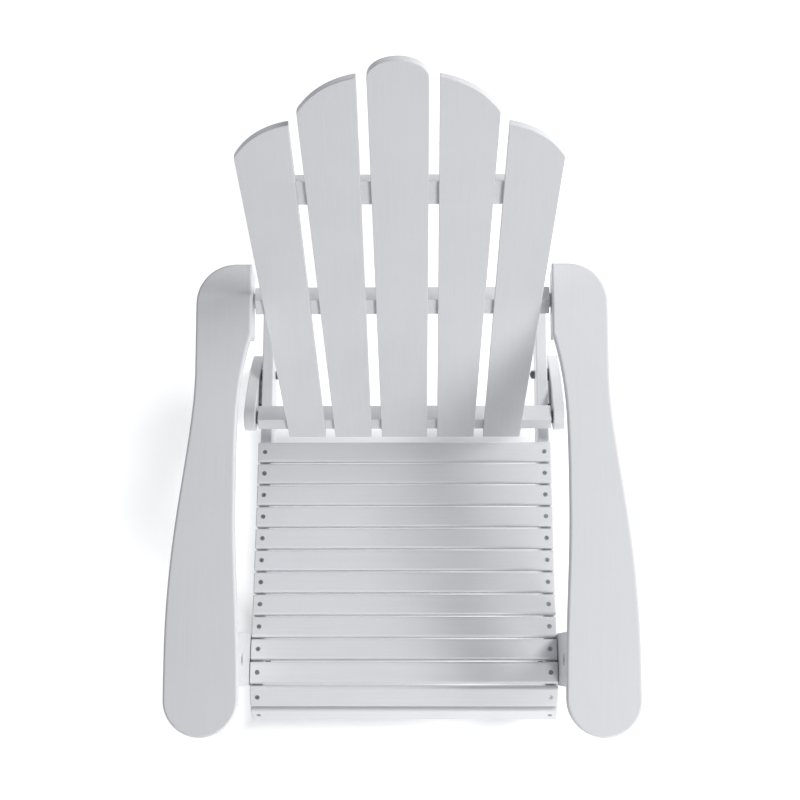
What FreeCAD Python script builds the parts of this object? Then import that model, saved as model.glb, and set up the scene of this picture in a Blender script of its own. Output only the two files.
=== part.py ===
import FreeCAD, Part
import math
import os
from FreeCAD import Vector

# A folding adirondack chair in painted timber.  Millimetres, +Z up.
# The chair faces -Y and is symmetric about X = 0; "left" pieces lie on the -X side.
# It is laid out with Y = 0 at the middle of the front legs and Z = 0 on the floor,
# and everything is moved along Y at the end, so that the origin is the middle of its footprint.

# ---------------------------------------------------------------- driving sizes
# cross pieces and the seat
CROSS_LENGTH = 507.0        # seat slats and lower back rail, cut from one stop
SLAT_COUNT = 13
SLAT_PITCH = 38.7
SLAT_WIDTH = 35.5
SLAT_THICK = 12.0
SLAT_ROUND = 4.0            # along the slats' long edges
FIRST_SLAT_RUN = 89.6       # from the seat's knee forward to the middle of the front slat

# seat rails: a shallow hollow behind the knee, a round nose in front of it
RAIL_THICK = 19.0
RAIL_DEPTH = 77.0
RAIL_INSET = 2.5            # outer face in from the slat ends
KNEE_Y = -10.7
KNEE_Z = 366.0
KNEE_SLOPE = 17.6           # degrees, falling to the rear
HOLLOW_RADIUS = 2612.0
NOSE_RADIUS = 58.4
NOSE_CORNER = 18.0
RAIL_BEHIND_PIVOT = 214.0   # how far the rails run on behind the back's pivot
RAIL_REAR_CORNER = 12.0

# front legs
FRONT_LEG_Y = 1.0           # their middle
FRONT_LEG_WIDTH = 86.0
FRONT_LEG_THICK = 20.0
FRONT_LEG_GAP = 1.0         # between slat end and leg
FRONT_LEG_DROP = 14.0       # top of the leg below the arm
FRONT_LEG_CORNER = 22.0
LEG_PIVOT_DROP = 34.3       # leg pivot below the top of the seat rail
ARM_PIVOT_DROP = 70.0       # arm pivot below the arm

# rear legs: a swept board with a round ear at the top; places are from the back's pivot
REAR_LEG_THICK = 19.5
EAR_GAP = 3.5               # between the lower rail's end and the ear
EAR_RADIUS = 22.5
EAR_ENDS = (50.0, 190.0)    # degrees round the ear where the back and front edges meet it
REAR_KNEE = (132.0, -128.0)     # where the back edge turns down
REAR_KNEE_ROUND = 24.0
REAR_FOOT_BEHIND = 156.0
REAR_FOOT_WIDTH = 80.0
REAR_BACK_BULGE = 9.0
REAR_FRONT_HOLLOW = 13.0
REAR_BOLTS = ((20.0, 24.0), (89.0, 52.0))   # behind the pivot, below the rail's top

# arms
ARM_TOP = 580.0
ARM_THICK = 22.0
ARM_TIP_Y = -117.5
ARM_OVERHANG = 68.5         # outer edge beyond the bracket
ARM_BEHIND_PIVOT = 50.4     # rear edge behind the cleat's pivot
ARM_INSIDE = 16.0           # inner rear edge in from the slat ends
ARM_NOSE_WIDTH = 115.0
ARM_NOSE_STRAIGHT = 60.0    # straight outer edge behind the nose
ARM_WAIST_OUT = 40.5        # waist's outer edge in from the nose's
ARM_WAIST_IN = 22.8         # waist's inner edge out from the rear's
ARM_WAIST_REAR = 170.0      # where the outer waist ends, from the rear edge
ARM_REAR_CORNER = 63.0
ARM_SWEEP = 120.0           # how long the outline's curves keep their direction
ARM_ROUND = 4.0

# cleats and brackets under the arms
CLEAT_LENGTH = 110.0
CLEAT_HEIGHT = 48.0
CLEAT_THICK = 20.0
CLEAT_INSET = 1.0           # in from the arm's inner edge
CLEAT_RAIL_GAP = 2.8        # between the middle rail's end and the cleat
BRACKET_LENGTH = 92.0
BRACKET_HEIGHT = 103.0
BRACKET_THICK = 20.0
BRACKET_CORNER = 28.0
BRACKET_GAP = 3.0           # between the leg and the bracket

# the back: five tapered slats on three rails
RECLINE = 33.0              # degrees from upright
SEAT_TO_BACK = 8.7          # from the rear seat slat to the slats' front face, level
BACK_FOOT_RISE = 17.8       # their lower end above the top of the seat rail
BACK_SLAT_THICK = 11.5
BACK_ROUND = 1.2
CROWN_BULGE = 11.8          # how far a side slat's crown stands off its chord
CROWN_CORNER = 6.0
# inner and outer edge at the lower end, their spread per millimetre of height,
# the height of the inner shoulder and the drop of the curve to the outer one
CENTRE_SLAT = dict(half=39.0, spread=0.0067, shoulder=767.0, rise=32.0)
MIDDLE_SLAT = dict(inner=56.6, inner_spread=0.0025, outer=119.5, outer_spread=0.0366,
                   shoulder=769.4, drop=62.0)
OUTER_SLAT = dict(inner=135.8, inner_spread=0.0327, outer=199.1, outer_spread=0.0681,
                  shoulder=686.0, drop=61.0)
# lower edge up the slat, height, thickness
LOWER_RAIL = dict(start=7.4, height=25.0, thick=33.6)
MIDDLE_RAIL = dict(height=32.8, thick=30.7)
UPPER_RAIL = dict(start=523.7, height=46.5, thick=17.4)
UPPER_RAIL_INSET = 14.0     # its ends in from the outer slats' edges

# timber edges
EDGE_ROUND = 2.0

# fasteners
BOLT_RADIUS = 4.0
BOLT_HEAD_RADIUS = 9.0
BOLT_HEAD_HEIGHT = 4.0
BOLT_HEAD_ROUND = 3.2
SOCKET_RADIUS = 2.8         # across corners, halved
SOCKET_DEPTH = 2.4
POCKET_CLEARANCE = 1.0      # round a bolt's head in its counterbore
POCKET_DEPTH = 4.75         # of the counterbore
RUNNING_CLEARANCE = 0.08    # a bolt in the timber that turns on it
FIXED_CLEARANCE = 0.25      # a bolt in timber that it only clamps
OPEN_CLEARANCE = 8.0        # around the arm bolt in its bracket, where the linkage is left open
PIVOT_BOLT_REACH = 48.0     # how far a pivot bolt enters the end of a back rail
BOLT_END = 1.5              # what a bolt shows beyond its nut
NUT_RADIUS = 7.5            # across corners, halved
NUT_HEIGHT = 6.5
BARREL_RADIUS = 6.0
BARREL_LENGTH = 20.0
BARREL_END = 3.0            # from the barrel to the bolt's tip
WASHER_RADIUS = 11.0
WASHER_PLAY = 0.25          # left free on each face of a washer that turns
WIDE_WASHER_RADIUS = 16.0
WIDE_WASHER_THICK = 2.0
SCREW_HEAD_RADIUS = 4.0
SCREW_HEAD_DEPTH = 2.5
SCREW_RADIUS = 1.9
SCREW_CLEARANCE = 0.15
SCREW_SINK = 0.2            # head below the timber
RECESS_LENGTH = 4.6         # of the cross in a screw's head
RECESS_WIDTH = 1.0
RECESS_DEPTH = 1.4
SEAT_SCREW_LENGTH = 38.0
RAIL_SCREW_BITE = 7.5       # how far a back screw reaches into its slat
RAIL_SCREW_SPREAD = 26.0    # across the slat, between its two screws
RAIL_SCREW_EDGE = 8.0       # from the rail's edge to the screw
ARM_SCREW_BITE = 14.0       # how far a cleat or bracket screw reaches into the arm
ARM_SCREW_EDGE = 15.0       # from the end of the cleat or bracket to the screw
BRACKET_SCREW_SINK = 55.0   # depth of the counterbore under the bracket

# ---------------------------------------------------------------- sizes that follow
HALF_CROSS = CROSS_LENGTH / 2
RAIL_OUTER = HALF_CROSS - RAIL_INSET
RAIL_INNER = RAIL_OUTER - RAIL_THICK
LEG_INNER = HALF_CROSS + FRONT_LEG_GAP
LEG_OUTER = LEG_INNER + FRONT_LEG_THICK
EAR_INNER = HALF_CROSS + EAR_GAP
EAR_OUTER = EAR_INNER + REAR_LEG_THICK
BRACKET_INNER = LEG_OUTER + BRACKET_GAP
BRACKET_OUTER = BRACKET_INNER + BRACKET_THICK
ARM_BOTTOM = ARM_TOP - ARM_THICK
ARM_OUTER = BRACKET_OUTER + ARM_OVERHANG
ARM_INNER_REAR = HALF_CROSS - ARM_INSIDE
CLEAT_INNER = ARM_INNER_REAR + CLEAT_INSET
CLEAT_OUTER = CLEAT_INNER + CLEAT_THICK
FRONT_LEG_TOP = ARM_BOTTOM - FRONT_LEG_DROP

LEAN = math.radians(RECLINE)
SLOPE = math.radians(KNEE_SLOPE)
SIDES = (("left", -1), ("right", 1))


def side_point(y, z):
    return Vector(0, y, z)


KNEE = side_point(KNEE_Y, KNEE_Z)
KNEE_NORMAL = side_point(math.sin(SLOPE), math.cos(SLOPE))
HOLLOW_CENTRE = KNEE + KNEE_NORMAL * HOLLOW_RADIUS
NOSE_CENTRE = KNEE - KNEE_NORMAL * NOSE_RADIUS


def hollow_point(y, radius):
    """A point on an arc about the hollow's centre."""
    drop = math.sqrt(radius ** 2 - (HOLLOW_CENTRE.y - y) ** 2)
    return side_point(y, HOLLOW_CENTRE.z - drop)


def rail_top(y):
    """How high the top of a seat rail is, behind the knee."""
    return hollow_point(y, HOLLOW_RADIUS).z


def slat_seat(number):
    """Middle of a seat slat's thickness and its tilt; number 1 is the front slat."""
    run = FIRST_SLAT_RUN - (number - 1) * SLAT_PITCH
    if run > 0:
        middle_radius = NOSE_RADIUS + SLAT_THICK / 2
        angle = SLOPE - run / middle_radius
        normal = side_point(math.sin(angle), math.cos(angle))
        return NOSE_CENTRE + normal * middle_radius, -math.degrees(angle)
    # a flat slat bridges the hollow, so it rests on the two edges of its flat underside
    bridge = (SLAT_WIDTH - 2 * SLAT_ROUND) ** 2 / (8 * HOLLOW_RADIUS)
    middle_radius = HOLLOW_RADIUS - SLAT_THICK / 2 - bridge
    angle = SLOPE + run / middle_radius
    normal = side_point(math.sin(angle), math.cos(angle))
    return HOLLOW_CENTRE - normal * middle_radius, -math.degrees(angle)


REAR_SLAT, REAR_SLAT_TILT = slat_seat(SLAT_COUNT)
BACK_FOOT_Y = REAR_SLAT.y + SLAT_WIDTH / 2 * math.cos(math.radians(REAR_SLAT_TILT)) + SEAT_TO_BACK
BACK_FOOT = side_point(BACK_FOOT_Y, rail_top(BACK_FOOT_Y) + BACK_FOOT_RISE)


def back_point(up, behind, x=0.0):
    """A point of the back: so far up the slats and so far behind their front face."""
    y = BACK_FOOT.y + up * math.sin(LEAN) + behind * math.cos(LEAN)
    z = BACK_FOOT.z + up * math.cos(LEAN) - behind * math.sin(LEAN)
    return Vector(x, y, z)


def rail_middle(rail):
    """The middle of a back rail's section."""
    return back_point(rail["start"] + rail["height"] / 2, BACK_SLAT_THICK + rail["thick"] / 2)


# the middle rail meets the cleats half way down them
CLEAT_PIVOT_Z = ARM_BOTTOM - CLEAT_HEIGHT / 2
MIDDLE_BEHIND = BACK_SLAT_THICK + MIDDLE_RAIL["thick"] / 2
MIDDLE_UP = (CLEAT_PIVOT_Z - BACK_FOOT.z + MIDDLE_BEHIND * math.sin(LEAN)) / math.cos(LEAN)
MIDDLE_RAIL["start"] = MIDDLE_UP - MIDDLE_RAIL["height"] / 2
LOWER_RAIL["half"] = HALF_CROSS
MIDDLE_RAIL["half"] = CLEAT_INNER - CLEAT_RAIL_GAP
UPPER_HALF = OUTER_SLAT["outer"] + OUTER_SLAT["outer_spread"] * UPPER_RAIL["start"]
UPPER_RAIL["half"] = UPPER_HALF - UPPER_RAIL_INSET

BACK_PIVOT = rail_middle(LOWER_RAIL)
CLEAT_PIVOT = rail_middle(MIDDLE_RAIL)
ARM_PIVOT = side_point(FRONT_LEG_Y, ARM_BOTTOM - ARM_PIVOT_DROP)
LEG_PIVOT = side_point(FRONT_LEG_Y, rail_top(FRONT_LEG_Y) - LEG_PIVOT_DROP)
REAR_BOLT_SPOTS = [side_point(BACK_PIVOT.y + behind, rail_top(BACK_PIVOT.y + behind) - below)
                   for behind, below in REAR_BOLTS]
RAIL_REAR_Y = BACK_PIVOT.y + RAIL_BEHIND_PIVOT
REAR_FOOT_Y = BACK_PIVOT.y + REAR_FOOT_BEHIND
ARM_REAR_Y = CLEAT_PIVOT.y + ARM_BEHIND_PIVOT
CLEAT_REAR_Y = ARM_REAR_Y - EDGE_ROUND
ARM_WAIST_OUTER = ARM_OUTER - ARM_WAIST_OUT
ARM_WAIST_INNER = ARM_INNER_REAR + ARM_WAIST_IN
BACK_TOP = CENTRE_SLAT["shoulder"] + CENTRE_SLAT["rise"]
TOP_EDGE_CUT = BACK_ROUND * (math.cos(LEAN) + math.sin(LEAN) - 1)
REAR_Y = back_point(BACK_TOP, BACK_SLAT_THICK).y - TOP_EDGE_CUT
MIDDLE_Y = (ARM_TIP_Y + REAR_Y) / 2

parts = {}


# ---------------------------------------------------------------- helpers
def mirrored(shape, side):
    """The right-hand shape, or its twin on the left."""
    if side > 0:
        return shape
    return shape.mirror(Vector(0, 0, 0), Vector(1, 0, 0))


def side_board(edges, inner, thick):
    """A board cut to a side outline in the YZ plane, standing at X = inner."""
    board = Part.Face(Part.Wire(edges)).extrude(Vector(thick, 0, 0))
    board.translate(Vector(inner, 0, 0))
    return board


def line(start, end):
    return Part.LineSegment(start, end).toShape()


def arc(start, middle, end):
    return Part.Arc(start, middle, end).toShape()


def bowed(start, end, bulge, normal=Vector(1, 0, 0)):
    """An arc from start to end, standing off its chord by the bulge, on the left of it."""
    across = normal.cross(end - start)
    across.normalize()
    return arc(start, (start + end) * 0.5 + across * bulge, end)


def rounded(shape, radius, pick=None):
    """The shape with the picked edges, or all of them, rounded over."""
    edges = [edge for edge in shape.Edges if pick is None or pick(edge)]
    return shape.makeFillet(radius, edges)


def runs_across(edge):
    """True for a straight edge that runs along X."""
    if len(edge.Vertexes) < 2:
        return False
    span = edge.Vertexes[1].Point - edge.Vertexes[0].Point
    return abs(span.y) + abs(span.z) < 0.001


def rod(x_from, x_to, pivot, radius):
    """A round bar along X through the pivot."""
    start = Vector(min(x_from, x_to), pivot.y, pivot.z)
    return Part.makeCylinder(radius, abs(x_to - x_from), start, Vector(1, 0, 0))


def pocket(face_x, inwards, pivot):
    """A counterbore for a bolt's head, sunk inwards (+1 or -1 along X) from a face."""
    return rod(face_x - inwards, face_x + inwards * POCKET_DEPTH, pivot,
               BOLT_HEAD_RADIUS + POCKET_CLEARANCE)


def ring(x_from, x_to, pivot, radius, bore):
    return rod(x_from, x_to, pivot, radius).cut(rod(x_from, x_to, pivot, bore))


def domed_bolt(head_x, tip_x, pivot):
    """A bolt along X whose domed head sits outside head_x."""
    out = 1.0 if head_x > tip_x else -1.0
    shank = rod(head_x, tip_x, pivot, BOLT_RADIUS)
    head = rod(head_x, head_x + out * BOLT_HEAD_HEIGHT, pivot, BOLT_HEAD_RADIUS)
    crown_x = head_x + out * BOLT_HEAD_HEIGHT
    head = rounded(head, BOLT_HEAD_ROUND, lambda edge: edge.BoundBox.XLength < 0.01
                   and abs(edge.CenterOfMass.x - crown_x) < 0.01)
    socket = Part.Face(Part.makePolygon(hexagon(crown_x, pivot, SOCKET_RADIUS)))
    head = head.cut(socket.extrude(Vector(-out * SOCKET_DEPTH, 0, 0)))
    return head.fuse(shank).removeSplitter()


def hexagon(x, pivot, radius):
    corners = []
    for corner in range(7):
        angle = math.radians(60 * corner)
        corners.append(Vector(x, pivot.y + radius * math.cos(angle), pivot.z + radius * math.sin(angle)))
    return corners


def nut(x_from, x_to, pivot):
    """A six-sided nut on a bolt along X."""
    block = Part.Face(Part.makePolygon(hexagon(x_from, pivot, NUT_RADIUS)))
    block = block.extrude(Vector(x_to - x_from, 0, 0))
    return block.cut(rod(x_from, x_to, pivot, BOLT_RADIUS))


def screw(length):
    """A countersunk cross-head screw: its head's face is at the origin, its point at -Z."""
    cone = Part.makeCone(SCREW_RADIUS, SCREW_HEAD_RADIUS, SCREW_HEAD_DEPTH,
                         Vector(0, 0, -SCREW_HEAD_DEPTH))
    shank = Part.makeCylinder(SCREW_RADIUS, length - SCREW_HEAD_DEPTH, Vector(0, 0, -length))
    body = cone.fuse(shank).removeSplitter()
    for long_x, long_y in ((RECESS_LENGTH, RECESS_WIDTH), (RECESS_WIDTH, RECESS_LENGTH)):
        body = body.cut(Part.makeBox(long_x, long_y, RECESS_DEPTH + 1,
                                     Vector(-long_x / 2, -long_y / 2, -RECESS_DEPTH)))
    return body


def screw_hole(length, clear_depth, sink=SCREW_SINK):
    """What a screw needs: a countersink, a free hole to clear_depth, then a tight one."""
    wide = SCREW_RADIUS + SCREW_CLEARANCE
    mouth = SCREW_HEAD_RADIUS + SCREW_CLEARANCE
    cone = Part.makeCone(wide, mouth, SCREW_HEAD_DEPTH, Vector(0, 0, -SCREW_HEAD_DEPTH))
    lip = Part.makeCylinder(mouth, sink + 1)
    free = Part.makeCylinder(wide, clear_depth, Vector(0, 0, -clear_depth))
    tight = Part.makeCylinder(SCREW_RADIUS, length, Vector(0, 0, -length))
    return cone.fuse([lip, free, tight])


def place(shape, point, tilt):
    """Turn a shape about X by tilt degrees, then carry it to the point."""
    placed = shape.copy()
    placed.rotate(Vector(0, 0, 0), Vector(1, 0, 0), tilt)
    placed.translate(point)
    return placed


# ---------------------------------------------------------------- seat
def make_seat_rail():
    """One seat rail with its hollow top, round nose and parallel underside."""
    low_radius = HOLLOW_RADIUS + RAIL_DEPTH
    rear_top = hollow_point(RAIL_REAR_Y, HOLLOW_RADIUS)
    rear_low = hollow_point(RAIL_REAR_Y, low_radius)
    knee_low = KNEE - KNEE_NORMAL * RAIL_DEPTH
    middle_y = (KNEE_Y + RAIL_REAR_Y) / 2
    forward = side_point(-math.cos(SLOPE), math.sin(SLOPE))
    nose_low = knee_low + forward * math.sqrt(NOSE_RADIUS ** 2 - (RAIL_DEPTH - NOSE_RADIUS) ** 2)
    nose_turn = SLOPE / 2 - math.radians(45)
    nose_top = NOSE_CENTRE + side_point(math.sin(nose_turn), math.cos(nose_turn)) * NOSE_RADIUS
    outline = [
        arc(KNEE, hollow_point(middle_y, HOLLOW_RADIUS), rear_top),
        line(rear_top, rear_low),
        arc(rear_low, hollow_point((knee_low.y + RAIL_REAR_Y) / 2, low_radius), knee_low),
        line(knee_low, nose_low),
        arc(nose_low, nose_top, KNEE),
    ]
    board = side_board(outline, RAIL_INNER, RAIL_THICK)

    def near(edge, point):
        return runs_across(edge) and edge.CenterOfMass.distanceToPoint(
            Vector(edge.CenterOfMass.x, point.y, point.z)) < 0.5

    board = rounded(board, NOSE_CORNER, lambda edge: near(edge, nose_low))
    board = rounded(board, RAIL_REAR_CORNER, lambda edge: near(edge, rear_top) or near(edge, rear_low))
    return rounded(board, EDGE_ROUND, lambda edge: edge.BoundBox.XLength < 0.01)


def make_seat_slat():
    """A seat slat lying flat at the origin, its long edges rounded more than its ends."""
    slat = Part.makeBox(CROSS_LENGTH, SLAT_WIDTH, SLAT_THICK,
                        Vector(-HALF_CROSS, -SLAT_WIDTH / 2, -SLAT_THICK / 2))
    slat = rounded(slat, SLAT_ROUND, runs_across)
    return rounded(slat, EDGE_ROUND, lambda edge: edge.BoundBox.XLength < 0.01)


def build_seat():
    screw_x = RAIL_INNER + RAIL_THICK / 2
    head_z = SLAT_THICK / 2 - SCREW_SINK
    loose_slat = make_seat_slat()
    one_screw = screw(SEAT_SCREW_LENGTH)
    one_hole = screw_hole(SEAT_SCREW_LENGTH, SLAT_THICK)
    slat_holes = []
    screws = []
    for x in (-screw_x, screw_x):
        hole = one_hole.copy()
        hole.translate(Vector(x, 0, head_z))
        slat_holes.append(hole)
        driven = one_screw.copy()
        driven.translate(Vector(x, 0, head_z))
        screws.append(driven)
    drilled = loose_slat.cut(slat_holes)
    pilots = []
    driven_screws = []
    for number in range(1, SLAT_COUNT + 1):
        point, tilt = slat_seat(number)
        parts["seat_slat_%02d" % number] = place(drilled, point, tilt)
        for item in screws:
            driven_screws.append(place(item, point, tilt))
        for x in (-screw_x, screw_x):
            pilot = Part.makeCylinder(SCREW_RADIUS, SEAT_SCREW_LENGTH,
                                      Vector(x, 0, head_z - SEAT_SCREW_LENGTH))
            pilots.append(place(pilot, point, tilt))
    parts["seat_slat_screws"] = Part.makeCompound(driven_screws)
    rail = make_seat_rail()
    bolt_holes = [rod(RAIL_INNER, RAIL_OUTER, spot, BOLT_RADIUS + FIXED_CLEARANCE)
                  for spot in REAR_BOLT_SPOTS]
    bolt_holes.append(rod(RAIL_INNER, RAIL_OUTER, LEG_PIVOT, BOLT_RADIUS + FIXED_CLEARANCE))
    rail = rail.cut(bolt_holes)
    for name, side in SIDES:
        near_pilots = [pilot for pilot in pilots if pilot.CenterOfMass.x * side > 0]
        parts["seat_rail_" + name] = mirrored(rail, side).cut(near_pilots)


# ---------------------------------------------------------------- legs
def make_front_leg():
    """A plain upright board, its top rounded to turn clear of the arm."""
    leg = Part.makeBox(FRONT_LEG_THICK, FRONT_LEG_WIDTH, FRONT_LEG_TOP,
                       Vector(LEG_INNER, LEG_PIVOT.y - FRONT_LEG_WIDTH / 2, 0))
    leg = rounded(leg, FRONT_LEG_CORNER,
                  lambda edge: runs_across(edge) and edge.CenterOfMass.z > FRONT_LEG_TOP - 1)
    leg = rounded(leg, EDGE_ROUND)
    return leg.cut([
        rod(LEG_INNER, LEG_OUTER, LEG_PIVOT, BOLT_RADIUS + RUNNING_CLEARANCE),
        rod(LEG_INNER, LEG_OUTER, ARM_PIVOT, BOLT_RADIUS + FIXED_CLEARANCE),
        pocket(LEG_OUTER, -1, LEG_PIVOT),
        pocket(LEG_INNER, 1, ARM_PIVOT),
    ])


def make_rear_leg():
    """A swept leg: ear round the back's pivot, bowed back edge, hollow front edge."""
    def on_ear(degrees):
        angle = math.radians(degrees)
        return BACK_PIVOT + side_point(math.cos(angle), math.sin(angle)) * EAR_RADIUS

    ear_rear = on_ear(EAR_ENDS[0])
    ear_top = on_ear(sum(EAR_ENDS) / 2)
    ear_front = on_ear(EAR_ENDS[1])
    knee = BACK_PIVOT + side_point(*REAR_KNEE)
    foot_rear = side_point(REAR_FOOT_Y, 0)
    foot_front = side_point(REAR_FOOT_Y - REAR_FOOT_WIDTH, 0)
    outline = [
        arc(ear_front, ear_top, ear_rear),
        bowed(ear_rear, knee, REAR_BACK_BULGE),
        line(knee, foot_rear),
        line(foot_rear, foot_front),
        bowed(foot_front, ear_front, -REAR_FRONT_HOLLOW),
    ]
    leg = side_board(outline, EAR_INNER, REAR_LEG_THICK)
    leg = rounded(leg, REAR_KNEE_ROUND, lambda edge: runs_across(edge)
                  and edge.CenterOfMass.distanceToPoint(Vector(edge.CenterOfMass.x, knee.y, knee.z)) < 0.5)
    leg = rounded(leg, EDGE_ROUND, lambda edge: edge.BoundBox.XLength < 0.01)
    holes = [rod(EAR_INNER, EAR_OUTER, BACK_PIVOT, BOLT_RADIUS + RUNNING_CLEARANCE),
             pocket(EAR_OUTER, -1, BACK_PIVOT)]
    for spot in REAR_BOLT_SPOTS:
        holes.append(rod(EAR_INNER, EAR_OUTER, spot, BOLT_RADIUS + FIXED_CLEARANCE))
        holes.append(pocket(EAR_OUTER, -1, spot))
    return leg.cut(holes)


def build_legs():
    front_leg = make_front_leg()
    rear_leg = make_rear_leg()
    for name, side in SIDES:
        parts["front_leg_" + name] = mirrored(front_leg, side)
        parts["rear_leg_" + name] = mirrored(rear_leg, side)


# ---------------------------------------------------------------- arms
def flat_point(x, y):
    return Vector(x, y, 0)


def sweep_curve(start, start_handle, end_handle, end):
    """A smooth edge that leaves start towards its handle and arrives from end's handle."""
    curve = Part.BezierCurve()
    curve.setPoles([start, start_handle, end_handle, end])
    return curve.toShape()


def make_arm():
    """The paddle-shaped right arm."""
    nose_radius = ARM_NOSE_WIDTH / 2
    nose_x = ARM_OUTER - nose_radius
    nose_y = ARM_TIP_Y + nose_radius
    tip = flat_point(nose_x, ARM_TIP_Y)
    nose_inner = flat_point(nose_x - nose_radius, nose_y)
    nose_outer = flat_point(ARM_OUTER, nose_y)
    shoulder = flat_point(ARM_OUTER, nose_y + ARM_NOSE_STRAIGHT)
    waist_outer = flat_point(ARM_WAIST_OUTER, ARM_REAR_Y - ARM_WAIST_REAR)
    corner_outer = flat_point(ARM_WAIST_OUTER, ARM_REAR_Y - ARM_REAR_CORNER)
    corner_rear = flat_point(ARM_WAIST_OUTER - ARM_REAR_CORNER, ARM_REAR_Y)
    corner_side = ARM_REAR_CORNER * (1 - math.sqrt(0.5))
    corner_middle = flat_point(ARM_WAIST_OUTER - corner_side, ARM_REAR_Y - corner_side)
    rear_inner = flat_point(ARM_INNER_REAR, ARM_REAR_Y)
    cleat_end = flat_point(ARM_INNER_REAR, CLEAT_REAR_Y - CLEAT_LENGTH)
    waist_inner = flat_point(ARM_WAIST_INNER, (ARM_TIP_Y + ARM_REAR_Y) / 2)
    keep = flat_point(0, ARM_SWEEP)
    flare = flat_point(ARM_WAIST_IN, -ARM_SWEEP * 2 / 3)
    outline = [
        arc(nose_inner, tip, nose_outer),
        line(nose_outer, shoulder),
        sweep_curve(shoulder, shoulder + keep * 1.75, waist_outer - keep, waist_outer),
        line(waist_outer, corner_outer),
        arc(corner_outer, corner_middle, corner_rear),
        line(corner_rear, rear_inner),
        line(rear_inner, cleat_end),
        sweep_curve(cleat_end, cleat_end + flare, waist_inner + keep, waist_inner),
        sweep_curve(waist_inner, waist_inner - keep, nose_inner + keep, nose_inner),
    ]
    arm = Part.Face(Part.Wire(outline)).extrude(Vector(0, 0, ARM_THICK))
    arm.translate(Vector(0, 0, ARM_BOTTOM))
    return rounded(arm, ARM_ROUND, lambda edge: edge.BoundBox.ZLength < 0.01)


def make_cleat():
    """The block under the arm's rear that the middle back rail turns in."""
    block = Part.makeBox(CLEAT_THICK, CLEAT_LENGTH, CLEAT_HEIGHT,
                         Vector(CLEAT_INNER, CLEAT_REAR_Y - CLEAT_LENGTH, ARM_BOTTOM - CLEAT_HEIGHT))
    block = rounded(block, EDGE_ROUND)
    return block.cut([rod(CLEAT_INNER, CLEAT_OUTER, CLEAT_PIVOT, BOLT_RADIUS + RUNNING_CLEARANCE),
                      pocket(CLEAT_OUTER, -1, CLEAT_PIVOT)])


def make_bracket():
    """The block under the arm's front, outside the leg."""
    block = Part.makeBox(BRACKET_THICK, BRACKET_LENGTH, BRACKET_HEIGHT,
                         Vector(BRACKET_INNER, ARM_PIVOT.y - BRACKET_LENGTH / 2,
                                ARM_BOTTOM - BRACKET_HEIGHT))
    block = rounded(block, BRACKET_CORNER, lambda edge: runs_across(edge)
                    and edge.CenterOfMass.z < ARM_BOTTOM - BRACKET_HEIGHT + 1)
    block = rounded(block, EDGE_ROUND)
    return block.cut(rod(BRACKET_INNER, BRACKET_OUTER, ARM_PIVOT, BOLT_RADIUS + OPEN_CLEARANCE))


def build_arms():
    arm = make_arm()
    cleat = make_cleat()
    bracket = make_bracket()
    cleat_x = (CLEAT_INNER + CLEAT_OUTER) / 2
    bracket_x = (BRACKET_INNER + BRACKET_OUTER) / 2
    cleat_y = CLEAT_REAR_Y - CLEAT_LENGTH / 2
    cleat_reach = CLEAT_LENGTH / 2 - ARM_SCREW_EDGE
    bracket_reach = BRACKET_LENGTH / 2 - ARM_SCREW_EDGE
    spots = []
    for end in (-1, 1):
        spots.append(("cleat", cleat_x, cleat_y + end * cleat_reach, CLEAT_HEIGHT, SCREW_SINK))
        spots.append(("bracket", bracket_x, ARM_PIVOT.y + end * bracket_reach, BRACKET_HEIGHT,
                      BRACKET_SCREW_SINK))
    screws = []
    for block, x, y, height, sink in spots:
        head = Vector(x, y, ARM_BOTTOM - height + sink)
        length = height - sink + ARM_SCREW_BITE
        screws.append(place(screw(length), head, 180))
        hole = place(screw_hole(length, height - sink, sink), head, 180)
        if block == "cleat":
            cleat = cleat.cut(hole)
        else:
            bracket = bracket.cut(hole)
        arm = arm.cut(Part.makeCylinder(SCREW_RADIUS, ARM_SCREW_BITE, Vector(x, y, ARM_BOTTOM)))
    for name, side in SIDES:
        parts["arm_" + name] = mirrored(arm, side)
        parts["arm_cleat_" + name] = mirrored(cleat, side)
        parts["arm_bracket_" + name] = mirrored(bracket, side)
        parts["arm_screws_" + name] = Part.makeCompound([mirrored(item, side) for item in screws])


# ---------------------------------------------------------------- back
def make_centre_slat():
    """The widest slat, with a half-ellipse top; built flat: X across, Y up the slat."""
    low = CENTRE_SLAT["half"]
    high = low + CENTRE_SLAT["spread"] * CENTRE_SLAT["shoulder"]
    shoulder = CENTRE_SLAT["shoulder"]
    top = Part.Ellipse(Vector(0, shoulder, 0), high, CENTRE_SLAT["rise"])
    outline = [
        line(flat_point(-low, 0), flat_point(low, 0)),
        line(flat_point(low, 0), flat_point(high, shoulder)),
        Part.Arc(top, 0, math.pi).toShape(),
        line(flat_point(-high, shoulder), flat_point(-low, 0)),
    ]
    return Part.Face(Part.Wire(outline)).extrude(Vector(0, 0, -BACK_SLAT_THICK))


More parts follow.
